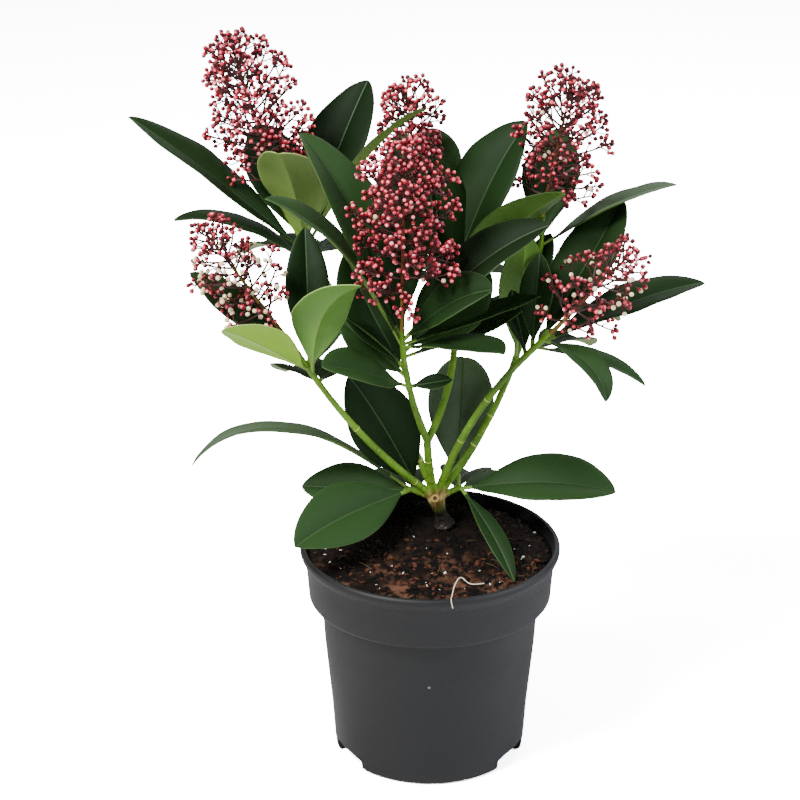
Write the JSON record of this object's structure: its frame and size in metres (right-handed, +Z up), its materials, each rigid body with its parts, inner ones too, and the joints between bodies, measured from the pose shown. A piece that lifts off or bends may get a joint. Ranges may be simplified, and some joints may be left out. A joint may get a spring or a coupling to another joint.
{
  "type": "potted skimmia",
  "caption": "Young evergreen shrub in a plain nursery pot: a short trunk forks into slender boughs, each with a whorl of leathery leaves under an upright head of round red flower buds.",
  "frame": {"origin": "centre of the pot's flat underside, where it meets the ground", "axes": "+Z up along the pot's axis; -Y towards the viewer of the plant's front; +X to that viewer's right"},
  "size_m": [0.2814, 0.1785, 0.365],
  "materials": {
    "pot_plastic": "dark anthracite moulded plastic, slightly satin",
    "peat": "damp, dark potting compost with fibres and pale grains",
    "woody_bark": "thin tan bark, dull",
    "green_bark": "smooth yellow-green young bark",
    "leaf": "leathery dark green with a soft gloss, paler below",
    "flower_bud": "closed coral to deep red buds on dark red twigs"
  },
  "bodies": {
    "root": {"pot": "pot_plastic", "soil": "peat", "trunk": "woody_bark", "bough_centre": "green_bark", "bough_left": "green_bark", "bough_back_left": "green_bark", "bough_front": "green_bark", "bough_back": "green_bark", "bough_right": "green_bark", "bough_back_right": "green_bark", "leaves_left": "leaf", "leaves_back_left": "leaf", "leaves_front": "leaf", "leaves_back": "leaf", "leaves_right": "leaf", "leaves_back_right": "leaf", "leaves_low_left": "leaf", "leaves_low_right": "leaf", "flowers_left": "flower_bud", "flowers_back_left": "flower_bud", "flowers_front": "flower_bud", "flowers_back": "flower_bud", "flowers_right": "flower_bud", "flowers_back_right": "flower_bud"}
  },
  "joints": []
}
